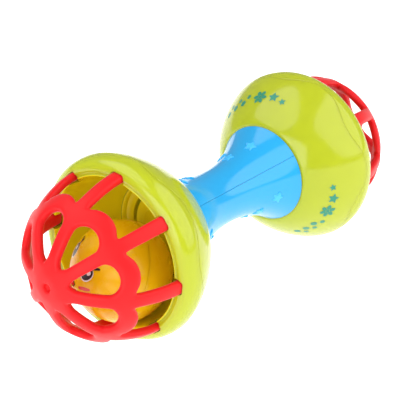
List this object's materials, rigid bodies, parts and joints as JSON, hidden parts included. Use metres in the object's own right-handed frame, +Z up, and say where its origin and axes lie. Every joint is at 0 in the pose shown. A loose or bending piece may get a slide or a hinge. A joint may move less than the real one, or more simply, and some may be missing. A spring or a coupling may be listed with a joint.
{
  "type": "baby rattle",
  "caption": "Dumbbell baby rattle: waisted handle, two round cups, each closed by a soft openwork cage over a loose rattle ball.",
  "frame": {"origin": "on the ground under the middle of the handle, at the centre of the bounding box's bottom", "axes": "+X along the rattle from the front bulb to the back bulb, +Z up, with the rattle lying on both bulbs"},
  "size_m": [0.162, 0.063, 0.0627],
  "materials": {
    "handle_blue": "glossy moulded plastic, sky blue",
    "bulb_green": "glossy moulded plastic, lime green",
    "cage_red": "soft satin gum, bright red",
    "ball_yellow": "glossy moulded plastic, warm yellow with a printed face",
    "bead_white": "plain moulded plastic"
  },
  "bodies": {
    "rattle": {"handle_lower_half": "handle_blue", "handle_upper_half": "handle_blue", "front_outer_shell": "bulb_green", "front_rim_cup": "bulb_green", "front_cage": "cage_red", "front_base_plug": "bulb_green", "back_outer_shell": "bulb_green", "back_rim_cup": "bulb_green", "back_cage": "cage_red", "back_base_plug": "bulb_green"},
    "front_beads": {"front_bead_1": "bead_white", "front_bead_2": "bead_white", "front_bead_3": "bead_white"},
    "front_ball": {"front_ball_face_half": "ball_yellow", "front_ball_rear_half": "ball_yellow"},
    "back_beads": {"back_bead_1": "bead_white", "back_bead_2": "bead_white", "back_bead_3": "bead_white"},
    "back_ball": {"back_ball_face_half": "ball_yellow", "back_ball_rear_half": "ball_yellow"}
  },
  "joints": [
    {"name": "front_ball_bounce", "type": "slide", "parent": "rattle", "child": "front_beads", "axis": [0, 0, 1], "range_m": [0, 0.016]},
    {"name": "front_ball_roll", "type": "hinge", "parent": "front_beads", "child": "front_ball", "pos_m": [-0.048, 0, 0.02326], "axis": [1, 0, 0], "continuous": true},
    {"name": "back_ball_bounce", "type": "slide", "parent": "rattle", "child": "back_beads", "axis": [0, 0, 1], "range_m": [0, 0.016]},
    {"name": "back_ball_roll", "type": "hinge", "parent": "back_beads", "child": "back_ball", "pos_m": [0.048, 0, 0.02326], "axis": [1, 0, 0], "continuous": true}
  ]
}
